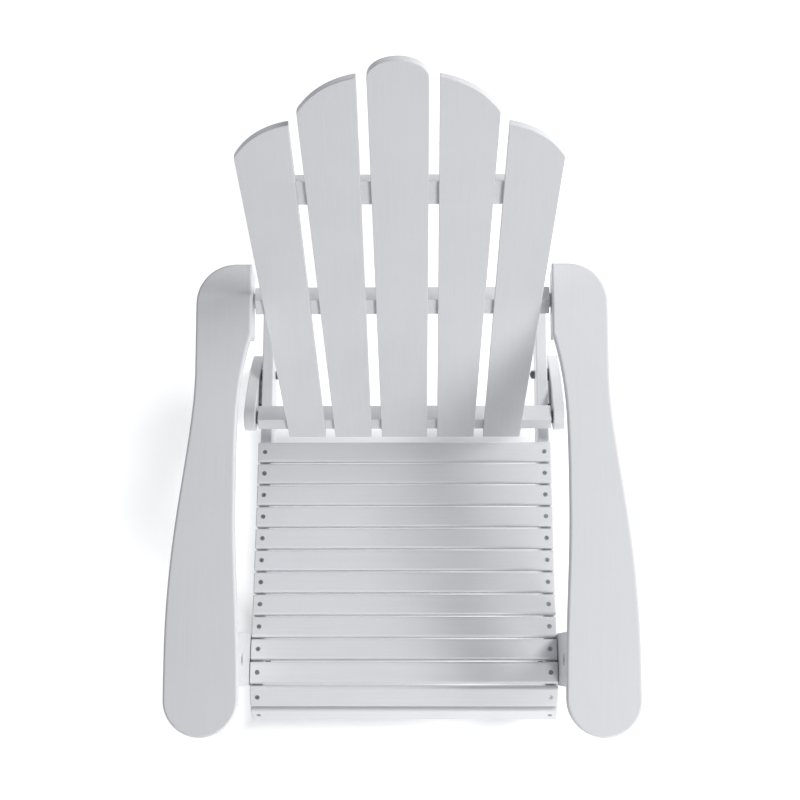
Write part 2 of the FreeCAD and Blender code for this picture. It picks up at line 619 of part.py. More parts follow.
def make_side_slat(slat):
    """A tapered slat of the right half, with a bowed crown that falls outwards."""
    shoulder = slat["shoulder"]
    outer_end = shoulder - slat["drop"]
    inner_low = flat_point(slat["inner"], 0)
    outer_low = flat_point(slat["outer"], 0)
    inner_top = flat_point(slat["inner"] + slat["inner_spread"] * shoulder, shoulder)
    outer_top = flat_point(slat["outer"] + slat["outer_spread"] * outer_end, outer_end)
    outline = [
        line(inner_low, outer_low),
        line(outer_low, outer_top),
        bowed(outer_top, inner_top, -CROWN_BULGE, Vector(0, 0, 1)),
        line(inner_top, inner_low),
    ]
    board = Part.Face(Part.Wire(outline)).extrude(Vector(0, 0, -BACK_SLAT_THICK))
    return rounded(board, CROWN_CORNER, lambda edge: edge.BoundBox.ZLength > BACK_SLAT_THICK - 1
                   and abs(edge.CenterOfMass.x - outer_top.x) < 0.5
                   and abs(edge.CenterOfMass.y - outer_end) < 0.5)


def lay_back(shape):
    """Carry a piece drawn flat (Y up the slats, Z to the front) onto the leaning back."""
    placed = shape.copy()
    placed.rotate(Vector(0, 0, 0), Vector(1, 0, 0), 90 - RECLINE)
    placed.translate(BACK_FOOT)
    return placed


def make_back_rail(rail):
    """A back rail drawn flat, behind the slats."""
    bar = Part.makeBox(rail["half"] * 2, rail["height"], rail["thick"],
                       Vector(-rail["half"], rail["start"], -BACK_SLAT_THICK - rail["thick"]))
    return rounded(bar, EDGE_ROUND)


def slat_middle(slat, up):
    """How far out a side slat's middle lies at a height."""
    inner = slat["inner"] + slat["inner_spread"] * up
    outer = slat["outer"] + slat["outer_spread"] * up
    return (inner + outer) / 2


def build_back():
    slats = {
        "back_slat_1": make_side_slat(OUTER_SLAT).mirror(Vector(0, 0, 0), Vector(1, 0, 0)),
        "back_slat_2": make_side_slat(MIDDLE_SLAT).mirror(Vector(0, 0, 0), Vector(1, 0, 0)),
        "back_slat_3": make_centre_slat(),
        "back_slat_4": make_side_slat(MIDDLE_SLAT),
        "back_slat_5": make_side_slat(OUTER_SLAT),
    }
    rails = {
        "back_rail_lower": LOWER_RAIL,
        "back_rail_middle": MIDDLE_RAIL,
        "back_rail_upper": UPPER_RAIL,
    }
    screws = []
    pilots = []
    bars = {}
    for name, rail in rails.items():
        bar = make_back_rail(rail)
        up = rail["start"] + rail["height"] / 2
        length = rail["thick"] + RAIL_SCREW_BITE - SCREW_SINK
        back_z = -BACK_SLAT_THICK - rail["thick"] + SCREW_SINK
        columns = []
        for slat in (MIDDLE_SLAT, OUTER_SLAT):
            columns.extend((-slat_middle(slat, up), slat_middle(slat, up)))
        columns.append(0.0)
        rise = rail["height"] / 2 - RAIL_SCREW_EDGE
        for x in columns:
            for step in (-1, 1):
                head = Vector(x + step * RAIL_SCREW_SPREAD / 2, up + step * rise, back_z)
                screws.append(place(screw(length), head, 180))
                bar = bar.cut(place(screw_hole(length, rail["thick"] - SCREW_SINK), head, 180))
                pilot = Part.makeCylinder(SCREW_RADIUS, length, Vector(0, 0, -length))
                pilots.append(place(pilot, head, 180))
        bars[name] = lay_back(bar)
    for name, slat in slats.items():
        edged = rounded(slat, BACK_ROUND)
        parts[name] = lay_back(edged.cut(pilots))
    parts["back_slat_screws"] = Part.makeCompound([lay_back(item) for item in screws])
    lower_half = LOWER_RAIL["half"]
    middle_half = MIDDLE_RAIL["half"]
    for name, pivot, half in (("back_rail_lower", BACK_PIVOT, lower_half),
                              ("back_rail_middle", CLEAT_PIVOT, middle_half)):
        for side in (-1, 1):
            bore = rod(side * (half - PIVOT_BOLT_REACH), side * half, pivot, BOLT_RADIUS)
            bars[name] = bars[name].cut(bore)
            bars[name] = bars[name].cut(barrel(side, half, pivot, 0.0))
    parts.update(bars)


def barrel(side, half, pivot, bore):
    """The cross dowel that a pivot bolt screws into, upright to the slats' front."""
    along = Vector(0, math.cos(LEAN), -math.sin(LEAN))
    middle = Vector(side * (half - PIVOT_BOLT_REACH + BARREL_RADIUS + BARREL_END), pivot.y, pivot.z)
    dowel = Part.makeCylinder(BARREL_RADIUS, BARREL_LENGTH, middle - along * (BARREL_LENGTH / 2), along)
    if bore:
        dowel = dowel.cut(rod(side * (half - PIVOT_BOLT_REACH), side * half, pivot, bore))
    return dowel


# ---------------------------------------------------------------- bolts, nuts and washers
def build_fasteners():
    lower_half = LOWER_RAIL["half"]
    middle_half = MIDDLE_RAIL["half"]
    # a turning bolt's head stands clear of the floor of its counterbore
    seat_depth = POCKET_DEPTH - WASHER_PLAY
    groups = {}

    def add(name, shape):
        groups.setdefault(name, []).append(shape)

    for side in (-1, 1):
        # the back turns on these in the ears of the rear legs
        add("back_pivot_bolts", domed_bolt(side * (EAR_OUTER - seat_depth),
                                           side * (lower_half - PIVOT_BOLT_REACH), BACK_PIVOT))
        add("back_pivot_barrels", barrel(side, lower_half, BACK_PIVOT, BOLT_RADIUS))
        add("back_pivot_washers", ring(side * lower_half, side * (EAR_INNER - WASHER_PLAY),
                                       BACK_PIVOT, WASHER_RADIUS, BOLT_RADIUS))
        # the arms' cleats turn on these in the ends of the middle rail
        add("cleat_pivot_bolts", domed_bolt(side * (CLEAT_OUTER - seat_depth),
                                            side * (middle_half - PIVOT_BOLT_REACH), CLEAT_PIVOT))
        add("cleat_pivot_barrels", barrel(side, middle_half, CLEAT_PIVOT, BOLT_RADIUS))
        add("cleat_pivot_washers", ring(side * middle_half, side * (CLEAT_INNER - WASHER_PLAY),
                                        CLEAT_PIVOT, WASHER_RADIUS, BOLT_RADIUS))
        # the front legs turn on these in the seat rails
        add("leg_pivot_bolts", domed_bolt(side * (LEG_OUTER - seat_depth),
                                          side * (RAIL_INNER - NUT_HEIGHT - BOLT_END), LEG_PIVOT))
        add("leg_pivot_nuts", nut(side * RAIL_INNER, side * (RAIL_INNER - NUT_HEIGHT), LEG_PIVOT))
        add("leg_pivot_washers", ring(side * RAIL_OUTER, side * (LEG_INNER - WASHER_PLAY),
                                      LEG_PIVOT, WASHER_RADIUS, BOLT_RADIUS))
        # the rear legs are bolted to the seat rails through spacers
        for pivot in REAR_BOLT_SPOTS:
            add("rear_leg_bolts", domed_bolt(side * (EAR_OUTER - POCKET_DEPTH),
                                             side * (RAIL_INNER - NUT_HEIGHT - BOLT_END), pivot))
            add("rear_leg_nuts", nut(side * RAIL_INNER, side * (RAIL_INNER - NUT_HEIGHT), pivot))
            add("rear_leg_spacers", ring(side * RAIL_OUTER, side * EAR_INNER, pivot,
                                         WASHER_RADIUS, BOLT_RADIUS))
    for name, shapes in groups.items():
        parts[name] = Part.makeCompound(shapes)

    # the arms hang on these bolts in the tops of the front legs
    for name, side in SIDES:
        washer_x = BRACKET_OUTER + WASHER_PLAY
        nut_x = washer_x + WIDE_WASHER_THICK
        parts["arm_bolt_" + name] = domed_bolt(side * (LEG_INNER + POCKET_DEPTH),
                                               side * (nut_x + NUT_HEIGHT + BOLT_END), ARM_PIVOT)
        parts["arm_bolt_washers_" + name] = Part.makeCompound([
            ring(side * LEG_OUTER, side * (BRACKET_INNER - WASHER_PLAY), ARM_PIVOT,
                 WIDE_WASHER_RADIUS, BOLT_RADIUS),
            ring(side * washer_x, side * nut_x, ARM_PIVOT, WIDE_WASHER_RADIUS, BOLT_RADIUS)])
        parts["arm_bolt_nut_" + name] = nut(side * nut_x, side * (nut_x + NUT_HEIGHT), ARM_PIVOT)


# ---------------------------------------------------------------- build and write
build_seat()
build_legs()
build_arms()
build_back()
build_fasteners()

os.makedirs("parts", exist_ok=True)
for name, shape in sorted(parts.items()):
    moved = shape.copy()
    moved.translate(Vector(0, -MIDDLE_Y, 0))
    moved.exportStep("parts/%s.step" % name)

for label, point in (("back pivot", BACK_PIVOT), ("cleat pivot", CLEAT_PIVOT),
                     ("arm pivot", ARM_PIVOT), ("leg pivot", LEG_PIVOT)):
    print("%s  y %.3f  z %.3f" % (label, point.y - MIDDLE_Y, point.z))
print("%d parts" % len(parts))
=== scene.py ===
# %% [markdown]
# A folding adirondack chair in white painted timber.
# The boards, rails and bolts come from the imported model, which is already a true chair: every board
# has its real outline and its rounded edges. This file gives that model its looks. It paints the
# timber, plates the metal, drives in proper cross-head screws, and sets up a small studio.

# %% Load the chair
import math

import bpy
import numpy as np
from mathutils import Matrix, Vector


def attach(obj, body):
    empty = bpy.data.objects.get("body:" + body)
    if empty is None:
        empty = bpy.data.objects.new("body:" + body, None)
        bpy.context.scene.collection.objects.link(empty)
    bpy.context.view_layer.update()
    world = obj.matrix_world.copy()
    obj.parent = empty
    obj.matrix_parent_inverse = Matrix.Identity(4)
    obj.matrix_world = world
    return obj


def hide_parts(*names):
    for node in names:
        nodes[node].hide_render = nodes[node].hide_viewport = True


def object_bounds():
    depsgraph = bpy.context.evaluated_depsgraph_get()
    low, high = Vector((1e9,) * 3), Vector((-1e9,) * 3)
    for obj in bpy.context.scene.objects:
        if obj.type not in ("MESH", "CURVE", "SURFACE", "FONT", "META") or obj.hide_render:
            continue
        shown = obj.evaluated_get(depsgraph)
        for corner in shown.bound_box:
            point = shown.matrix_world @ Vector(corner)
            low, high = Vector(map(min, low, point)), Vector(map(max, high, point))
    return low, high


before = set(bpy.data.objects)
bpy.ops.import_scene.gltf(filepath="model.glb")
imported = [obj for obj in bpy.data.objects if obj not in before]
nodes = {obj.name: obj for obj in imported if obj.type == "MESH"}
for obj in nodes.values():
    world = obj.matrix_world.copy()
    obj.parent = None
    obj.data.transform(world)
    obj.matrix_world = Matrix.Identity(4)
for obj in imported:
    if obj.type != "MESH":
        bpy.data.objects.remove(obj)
cad_low, cad_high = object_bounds()
print("the chair is %.3f wide, %.3f deep and %.3f high" % tuple(cad_high - cad_low))

# %% [markdown]
# Materials are small graphs of nodes, so the graph gets two helpers: one that turns a colour as a
# painter would name it, a hex code, into the linear numbers that a shader needs, and one that adds
# a node, sets its options and fills its inputs with either a number or another node's output.

# %% Two helpers for materials
MILLIMETRE = 0.001


def linear(code):
    """A hex colour such as E6E7E8, as linear red, green, blue and alpha."""
    channels = []
    for start in (0, 2, 4):
        value = int(code[start:start + 2], 16) / 255
        if value <= 0.04045:
            channels.append(value / 12.92)
        else:
            channels.append(((value + 0.055) / 1.055) ** 2.4)
    return (*channels, 1.0)


def add_node(tree, kind, inputs=None, **options):
    """Adds a node, sets its options, and fills its inputs with values or links."""
    node = tree.nodes.new(kind)
    for option, value in options.items():
        setattr(node, option, value)
    for socket, value in (inputs or {}).items():
        if isinstance(value, bpy.types.NodeSocket):
            tree.links.new(value, node.inputs[socket])
        else:
            node.inputs[socket].default_value = value
    return node


def new_material(name):
    """An empty material, its node graph and its output node."""
    material = bpy.data.materials.new(name)
    material.use_nodes = True
    material.node_tree.nodes.clear()
    return material, material.node_tree, add_node(material.node_tree, "ShaderNodeOutputMaterial")


print("pure white as linear:", linear("FFFFFF"))

# %% [markdown]
# The chair is softwood, planed smooth and painted with a satin white acrylic. Satin paint gives a
# broad, weak highlight. What the eye finds up close is a roller's fine stipple, the grain that
# telegraphs through as faint ridges along each board, and slow drifts of tone where the coat is
# thicker. All three are noise, stretched to a real size.
# The grain has to run along each board, so the material is made once for each direction that a
# board lies in: a heading on plan, and a rise above the floor.

# %% Satin white paint on planed softwood
PAINT_WHITE = "E3E4E6"
PAINT_THIN = "DFE0E2"
GRAIN_LENGTH = 120 * MILLIMETRE
GRAIN_WIDTH = 3.0 * MILLIMETRE      # real growth rings are about 2 mm apart; drawn a little coarser
STIPPLE_SIZE = 1.6 * MILLIMETRE     # a short-pile roller's texture
DRIFT_SIZE = 90 * MILLIMETRE
PAINT_IOR = 1.5
PAINT_ROUGHNESS = (0.36, 0.50)
RIDGE_HEIGHT = 0.025 * MILLIMETRE   # planing and two coats leave little of the grain
STIPPLE_HEIGHT = 0.05 * MILLIMETRE


def painted_softwood(name, heading, rise):
    """Satin white paint whose grain runs at a heading on plan and rises above level, in degrees."""
    material, tree, output = new_material(name)
    place = add_node(tree, "ShaderNodeTexCoord").outputs["Object"]
    turn = (0.0, math.radians(-rise), math.radians(heading))
    along_board = add_node(tree, "ShaderNodeMapping", {
        "Vector": place, "Rotation": turn, "Scale": (GRAIN_LENGTH, GRAIN_WIDTH, GRAIN_WIDTH),
    }, vector_type="TEXTURE")
    grain = add_node(tree, "ShaderNodeTexNoise", {
        "Vector": along_board.outputs["Vector"], "Scale": 1.0, "Detail": 3.0, "Roughness": 0.6,
        "Distortion": 0.4,
    })
    stipple = add_node(tree, "ShaderNodeTexNoise", {
        "Vector": place, "Scale": 1 / STIPPLE_SIZE, "Detail": 1.0,
    })
    drift = add_node(tree, "ShaderNodeTexNoise", {
        "Vector": place, "Scale": 1 / DRIFT_SIZE, "Detail": 2.0,
    })
    thin_coat = add_node(tree, "ShaderNodeMath", {
        0: grain.outputs["Fac"], 1: drift.outputs["Fac"],
    }, operation="MULTIPLY")
    spread = add_node(tree, "ShaderNodeMapRange", {
        "Value": thin_coat.outputs[0], "From Min": 0.12, "From Max": 0.40,
    })
    colour = add_node(tree, "ShaderNodeMix", {
        "Factor": spread.outputs["Result"], "A": linear(PAINT_WHITE), "B": linear(PAINT_THIN),
    }, data_type="RGBA")
    gloss = add_node(tree, "ShaderNodeMapRange", {
        "Value": drift.outputs["Fac"], "From Min": 0.3, "From Max": 0.7,
        "To Min": PAINT_ROUGHNESS[0], "To Max": PAINT_ROUGHNESS[1],
    })
    ridges = add_node(tree, "ShaderNodeBump", {
        "Height": grain.outputs["Fac"], "Strength": 0.4, "Distance": RIDGE_HEIGHT,
    })
    skin = add_node(tree, "ShaderNodeBump", {
        "Height": stipple.outputs["Fac"], "Strength": 0.4, "Distance": STIPPLE_HEIGHT,
        "Normal": ridges.outputs["Normal"],
    })
    paint = add_node(tree, "ShaderNodeBsdfPrincipled", {
        "Base Color": colour.outputs["Result"], "Roughness": gloss.outputs["Result"],
        "Normal": skin.outputs["Normal"], "IOR": PAINT_IOR,
    })
    tree.links.new(paint.outputs["BSDF"], output.inputs["Surface"])
    return material


# %% [markdown]
# Which way each board runs. Cross boards run along X. The arms run front to back, the front legs
# stand upright, the back leans, and the seat rails fall to the rear. The lean and the fall are
# measured on the model itself, from the long axis of one board of each kind.

# %% Grain along every board


def long_axis(node):
    """The direction in which a CAD node's vertices spread furthest, with Y or Z positive."""
    points = np.array([vertex.co for vertex in nodes[node].data.vertices])
    points = points - points.mean(axis=0)
    axis = np.linalg.eigh(points.T @ points)[1][:, -1]
    return axis if axis[1] + axis[2] > 0 else -axis


def rise_of(node):
    """How steeply a board in the YZ plane rises to the rear, in degrees."""
    axis = long_axis(node)
    return math.degrees(math.atan2(axis[2], axis[1]))


paint_across = painted_softwood("satin_white_paint_cross_boards", 0, 0)
paint_level = painted_softwood("satin_white_paint_arms", 90, 0)
paint_upright = painted_softwood("satin_white_paint_front_legs", 90, 90)
paint_back = painted_softwood("satin_white_paint_back", 90, rise_of("back_slat_3"))
paint_rails = painted_softwood("satin_white_paint_seat_rails", 90, rise_of("seat_rail_left"))
paint_rear_legs = painted_softwood("satin_white_paint_rear_legs", 90, rise_of("rear_leg_left"))
PAINT_FOR = (
    ("seat_slat_", paint_across),
    ("back_rail_", paint_across),
    ("back_slat_", paint_back),
    ("seat_rail_", paint_rails),
    ("rear_leg_left", paint_rear_legs),
    ("rear_leg_right", paint_rear_legs),
    ("front_leg_", paint_upright),
    ("arm_left", paint_level),
    ("arm_right", paint_level),
    ("arm_cleat_", paint_level),
    ("arm_bracket_", paint_upright),
)


def coat(node, material):
    """Puts one material on every face of a CAD node."""
    mesh = nodes[node].data
    mesh.materials.clear()
    mesh.materials.append(material)


painted = []
for node in sorted(nodes):
    for start, material in PAINT_FOR:
        if node.startswith(start) and not node.endswith("screws"):
            coat(node, material)
            painted.append(node)
print("painted", len(painted), "boards")

# %% [markdown]
# The bolts, nuts, washers and spacers are steel with a dark zinc plating. Plating is a thin, even
# metal skin, a little cloudy, so it is a metal with a middling roughness and a slow patchy stain.
# The screws have the same plating, newer and brighter.

# %% Plated steel
PATCH_SIZE = 4 * MILLIMETRE
PIT_DEPTH = 0.03 * MILLIMETRE
CLOUDINESS = 0.08   # how far the roughness swings to each side


def plated_steel(name, bright, dull, roughness):
    """Zinc-plated steel: two greys in patches, cloudier where it is duller."""
    material, tree, output = new_material(name)
    place = add_node(tree, "ShaderNodeTexCoord").outputs["Object"]
    patches = add_node(tree, "ShaderNodeTexNoise", {
        "Vector": place, "Scale": 1 / PATCH_SIZE, "Detail": 4.0, "Roughness": 0.6,
    })
    stain = add_node(tree, "ShaderNodeMapRange", {
        "Value": patches.outputs["Fac"], "From Min": 0.35, "From Max": 0.65,
    })
    colour = add_node(tree, "ShaderNodeMix", {
        "Factor": stain.outputs["Result"], "A": linear(bright), "B": linear(dull),
    }, data_type="RGBA")
    cloud = add_node(tree, "ShaderNodeMapRange", {
        "Value": stain.outputs["Result"],
        "To Min": roughness - CLOUDINESS, "To Max": roughness + CLOUDINESS,
    })
    pits = add_node(tree, "ShaderNodeBump", {
        "Height": patches.outputs["Fac"], "Strength": 0.3, "Distance": PIT_DEPTH,
    })
    metal = add_node(tree, "ShaderNodeBsdfPrincipled", {
        "Base Color": colour.outputs["Result"], "Roughness": cloud.outputs["Result"],
        "Normal": pits.outputs["Normal"], "Metallic": 1.0,
    })
    tree.links.new(metal.outputs["BSDF"], output.inputs["Surface"])
    return material


bolt_steel = plated_steel("dark_zinc_plated_bolts", "7C7F83", "5C5F63", 0.42)
screw_steel = plated_steel("zinc_plated_screws", "B4B7BA", "85888C", 0.40)
plated = 0
for node in sorted(nodes):
    if node not in painted and node != "cleat_pivot_washers":
        coat(node, screw_steel if "screws" in node else bolt_steel)
        plated += 1
print("plated", plated, "nodes")

# %% [markdown]
# The washers between the middle back rail and the arms' cleats are moulded from white nylon, so
# that the paint doesn't rub off where the back turns. Nylon is milky: a little light goes into it
# and comes out beside where it went in, and its skin has a fine moulded grain.

# %% White nylon
NYLON_GRAIN_SIZE = 0.4 * MILLIMETRE
NYLON_GRAIN_DEPTH = 0.02 * MILLIMETRE
NYLON_IOR = 1.53
LIGHT_REACH = 1 * MILLIMETRE    # how far light wanders inside nylon


def white_nylon():
    """Moulded natural nylon: milky, satin, with a fine grain."""
    material, tree, output = new_material("natural_white_nylon")
    place = add_node(tree, "ShaderNodeTexCoord").outputs["Object"]
    grain = add_node(tree, "ShaderNodeTexNoise", {
        "Vector": place, "Scale": 1 / NYLON_GRAIN_SIZE, "Detail": 1.0,
    })
    colour = add_node(tree, "ShaderNodeMix", {
        "Factor": grain.outputs["Fac"], "A": linear("E9E8E2"), "B": linear("DFDDD5"),
    }, data_type="RGBA")
    skin = add_node(tree, "ShaderNodeBump", {
        "Height": grain.outputs["Fac"], "Strength": 0.3, "Distance": NYLON_GRAIN_DEPTH,
    })
    nylon = add_node(tree, "ShaderNodeBsdfPrincipled", {
        "Base Color": colour.outputs["Result"], "Roughness": 0.45, "IOR": NYLON_IOR,
        "Subsurface Weight": 0.2, "Subsurface Scale": LIGHT_REACH,
        "Normal": skin.outputs["Normal"],
    })
    tree.links.new(nylon.outputs["BSDF"], output.inputs["Surface"])
    return material


coat("cleat_pivot_washers", white_nylon())
print("nylon washers on the cleats")

# %% [markdown]
# Dozens of equal screws hold the boards. A screw is a rule, not a sculpture, so a Geometry Nodes
# tree makes one from named sizes: a countersunk head with a cross recess, a shank and a point. The
# tree then sets a copy on every point of the mesh that it is given, turned to that point's own
# direction and spun about it by a random share of a quarter turn. Only the places and directions come from outside, and they are measured on the model's
# plain screws: each screw is one island of its mesh, its axis is the line along which its vertices
# spread most, and its head is at the wider end.

# %% Find the screws in the model


def islands(mesh):
    """The separate solids of a mesh, each as an array of its points."""
    points = [tuple(round(c, 7) for c in vertex.co) for vertex in mesh.vertices]
    parent = {point: point for point in points}

    def top(point):
        while parent[point] != point:
            parent[point] = parent[parent[point]]
            point = parent[point]
        return point

    for edge in mesh.edges:
        first, second = (top(points[index]) for index in edge.vertices)
        if first != second:
            parent[first] = second
    groups = {}
    for point in sorted(parent):
        groups.setdefault(top(point), []).append(point)
    return [np.array(group) for group in groups.values()]


def find_screws(node):
    """For each screw of a node: the middle of its head's face, its outward axis and its length."""
    found = []
    for points in islands(nodes[node].data):
        middle = points.mean(axis=0)
        axis = np.linalg.eigh((points - middle).T @ (points - middle))[1][:, -1]
        height = (points - middle) @ axis
        radius = np.linalg.norm((points - middle) - np.outer(height, axis), axis=1)
        if radius[height > 0].max() < radius[height < 0].max():
            axis = -axis
            height = -height
        rim = height.max()
        found.append((middle + axis * rim, axis, height.max() - height.min()))
    return found


screw_nodes = {
    "seat_slat_screws": "seat_frame",
    "back_slat_screws": "back",
    "arm_screws_left": "arm_left",
    "arm_screws_right": "arm_right",
}
screws = {node: find_screws(node) for node in screw_nodes}
for node, found in screws.items():
    print(node, len(found), "screws, the first %.1f mm long" % (found[0][2] / MILLIMETRE))

# %% [markdown]
# The tree. A cone and a cylinder are joined for the head and shank, a second cone is the point, and
# two crossed blocks are cut from the head with a Boolean. Each copy's length comes from the tree's
# Length input, set for each group of equal screws, because a screw through a thick rail is longer
# than one through a slat: the shank is stretched before the head is added to it.

# %% A screw as Geometry Nodes
HEAD_RADIUS = 4.0 * MILLIMETRE
HEAD_DEPTH = 2.5 * MILLIMETRE
SHANK_RADIUS = 1.9 * MILLIMETRE
RECESS_DEPTH = 1.5 * MILLIMETRE
TURN_SEED = 7


def screw_tree(material):
    """Countersunk cross-head screws on points, each along the point's axis attribute."""
    tree = bpy.data.node_groups.new("cross_head_screws", "GeometryNodeTree")
    face = tree.interface
    face.new_socket("Geometry", in_out="INPUT", socket_type="NodeSocketGeometry")
    for name, value in (("Head radius", HEAD_RADIUS), ("Head depth", HEAD_DEPTH),
                        ("Shank radius", SHANK_RADIUS), ("Recess depth", RECESS_DEPTH),
                        ("Length", 40 * MILLIMETRE)):
        face.new_socket(name, in_out="INPUT", socket_type="NodeSocketFloat").default_value = value
    face.new_socket("Geometry", in_out="OUTPUT", socket_type="NodeSocketGeometry")
    given = add_node(tree, "NodeGroupInput").outputs
    head_radius, head_depth = given["Head radius"], given["Head depth"]

    def times(value, factor):
        return add_node(tree, "ShaderNodeMath", {0: value, 1: factor}, operation="MULTIPLY").outputs[0]

    def minus(value, other):
        return add_node(tree, "ShaderNodeMath", {0: value, 1: other}, operation="SUBTRACT").outputs[0]

    def on_axis(height):
        return add_node(tree, "ShaderNodeCombineXYZ", {"Z": height}).outputs[0]

    def moved(geometry, height):
        return add_node(tree, "GeometryNodeTransform", {
            "Geometry": geometry, "Translation": on_axis(height),
        }).outputs[0]

    point_length = times(given["Shank radius"], 2.5)
    shank_length = minus(minus(given["Length"], head_depth), point_length)
    lip_depth = times(head_depth, 0.15)
    lip = add_node(tree, "GeometryNodeMeshCone", {
        "Vertices": 24, "Radius Top": times(head_radius, 0.93), "Radius Bottom": head_radius,
        "Depth": lip_depth,
    }).outputs["Mesh"]
    head = add_node(tree, "GeometryNodeMeshCone", {
        "Vertices": 24, "Radius Top": head_radius, "Radius Bottom": given["Shank radius"],
        "Depth": minus(head_depth, lip_depth),
    }).outputs["Mesh"]
    shank = add_node(tree, "GeometryNodeMeshCylinder", {
        "Vertices": 24, "Radius": given["Shank radius"], "Depth": shank_length,
    }).outputs["Mesh"]
    tip = add_node(tree, "GeometryNodeMeshCone", {
        "Vertices": 24, "Radius Top": given["Shank radius"], "Radius Bottom": 0.0, "Depth": point_length,
    }).outputs["Mesh"]
    # a cone's origin is its base; a cylinder's is its middle
    solid = add_node(tree, "GeometryNodeJoinGeometry")
    shank_middle = minus(times(shank_length, -0.5), head_depth)
    for piece, height in ((lip, times(lip_depth, -1.0)), (head, times(head_depth, -1.0)),
                          (shank, shank_middle), (tip, times(given["Length"], -1.0))):
        tree.links.new(moved(piece, height), solid.inputs[0])
    whole = add_node(tree, "GeometryNodeMergeByDistance", {
        "Geometry": solid.outputs[0], "Distance": 0.01 * MILLIMETRE,
    }).outputs[0]
    long_side = times(head_radius, 1.15)
    short_side = times(head_radius, 0.28)
    recess = add_node(tree, "GeometryNodeMeshBoolean", {"Mesh 1": whole}, operation="DIFFERENCE")
    for wide, deep in ((long_side, short_side), (short_side, long_side)):
        size = add_node(tree, "ShaderNodeCombineXYZ", {
            "X": wide, "Y": deep, "Z": times(given["Recess depth"], 2.0),
        }).outputs[0]
        block = add_node(tree, "GeometryNodeMeshCube", {"Size": size}).outputs["Mesh"]
        tree.links.new(block, recess.inputs["Mesh 2"])
    direction = add_node(tree, "GeometryNodeInputNamedAttribute", {"Name": "screw_axis"},
                         data_type="FLOAT_VECTOR").outputs["Attribute"]
    # each screw stopped turning where it happened to bite, so no two crosses line up
    stop = add_node(tree, "FunctionNodeRandomValue", data_type="FLOAT")
    stop.inputs["Seed"].default_value = TURN_SEED
    spin = add_node(tree, "ShaderNodeCombineXYZ", {"Z": times(stop.outputs[1], math.pi / 2)})
    spun = add_node(tree, "FunctionNodeEulerToRotation", {"Euler": spin.outputs[0]})
    turned = add_node(tree, "FunctionNodeAlignRotationToVector", {
        "Rotation": spun.outputs[0], "Vector": direction,
    }, axis="Z")
    copies = add_node(tree, "GeometryNodeInstanceOnPoints", {
        "Points": given["Geometry"], "Instance": recess.outputs["Mesh"],
        "Rotation": turned.outputs["Rotation"],
    })
    real = add_node(tree, "GeometryNodeRealizeInstances", {"Geometry": copies.outputs[0]})
    plated = add_node(tree, "GeometryNodeSetMaterial", {
        "Geometry": real.outputs[0], "Material": material,
    })
    add_node(tree, "NodeGroupOutput", {"Geometry": plated.outputs[0]})
    return tree


screws_tree = screw_tree(screw_steel)
print("the screw tree has", len(screws_tree.nodes), "nodes")

# %% [markdown]
# Now the screws are driven. Screws of one length in one node share a mesh of points. The modifier's
# length is set, the result becomes a plain mesh, and the meshes of a node are joined, so each body
# gets one piece that stands for the model's plain screws.

# %% Drive the screws


def as_plain_mesh(carrier, name):
    """The evaluated mesh of a carrier, as a new object with no modifier."""
    bpy.context.view_layer.update()
    depsgraph = bpy.context.evaluated_depsgraph_get()
    mesh = bpy.data.meshes.new_from_object(carrier.evaluated_get(depsgraph))
    mesh.name = name
    piece = bpy.data.objects.new(name, mesh)
    bpy.context.scene.collection.objects.link(piece)
    return piece


def drive(found, length, name):
    """A mesh of screws of one length at the places found."""
    points = bpy.data.meshes.new(name + "_points")
    points.from_pydata([tuple(place) for place, axis, size in found], [], [])
    attribute = points.attributes.new("screw_axis", "FLOAT_VECTOR", "POINT")
    for index, (place, axis, size) in enumerate(found):
        attribute.data[index].vector = axis
    carrier = bpy.data.objects.new(name + "_carrier", points)
    bpy.context.scene.collection.objects.link(carrier)
    modifier = carrier.modifiers.new("screws", "NODES")
    modifier.node_group = screws_tree
    for item in screws_tree.interface.items_tree:
        if item.in_out == "INPUT" and item.name == "Length":
            modifier[item.identifier] = length
    piece = as_plain_mesh(carrier, name)
    bpy.data.objects.remove(carrier)
    return piece


def join(pieces, name):
    """Several plain meshes as one object at the origin."""
    vertices, faces = [], []
    for piece in pieces:
        base = len(vertices)
        vertices.extend(tuple(vertex.co) for vertex in piece.data.vertices)
        faces.extend([base + index for index in face.vertices] for face in piece.data.polygons)
        bpy.data.objects.remove(piece)
    mesh = bpy.data.meshes.new(name)
    mesh.from_pydata(vertices, [], faces)
    mesh.materials.append(screw_steel)
    whole = bpy.data.objects.new(name, mesh)
    bpy.context.scene.collection.objects.link(whole)
    return whole


for node, body in screw_nodes.items():
    by_length = {}
    for found in screws[node]:
        by_length.setdefault(round(found[2] / MILLIMETRE, 1), []).append(found)
    pieces = [drive(found, length * MILLIMETRE, "%s_%d" % (node, number))
              for number, (length, found) in enumerate(sorted(by_length.items()))]
    piece = join(pieces, node.replace("screws", "cross_head_screws"))
    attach(piece, body)
    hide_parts(node)
    print(piece.name, len(piece.data.polygons), "faces in lengths", sorted(by_length))

# %% [markdown]
# The studio. The floor is a pale acrylic sheet that glows evenly, except in a patch of painted
# shade under the seat where the glow stops, so that the narrow gaps between the seat slats read as
# dark lines. A wide soft light stands above and behind the chair's left shoulder (on the right as
# you face the chair), and a lower one in front on the same side reaches the front of the back. An
# even pale sky fills the shadows. The camera looks down on the chair from high above its front
# edge, leaning a little to the rear.

# %% Floor
FLOOR_SIZE = 12.0
FLOOR_GAP = 0.5 * MILLIMETRE        # so the floor never lies in the plane of the feet
FLOOR_GLOW = 0.5
# Painted shade: the floor's glow is cut off in a patch under the seat, standing in for the chair's
# shadow.
PAINTED_SHADE_MIDDLE = (0.0, -0.195, 0.0)   # the patch under the seat, and half its sides
PAINTED_SHADE_HALF = (0.285, 0.27, 1.0)
PAINTED_SHADE_EDGE = (0.96, 1.1)            # where the glow starts and is full, as shares of those halves


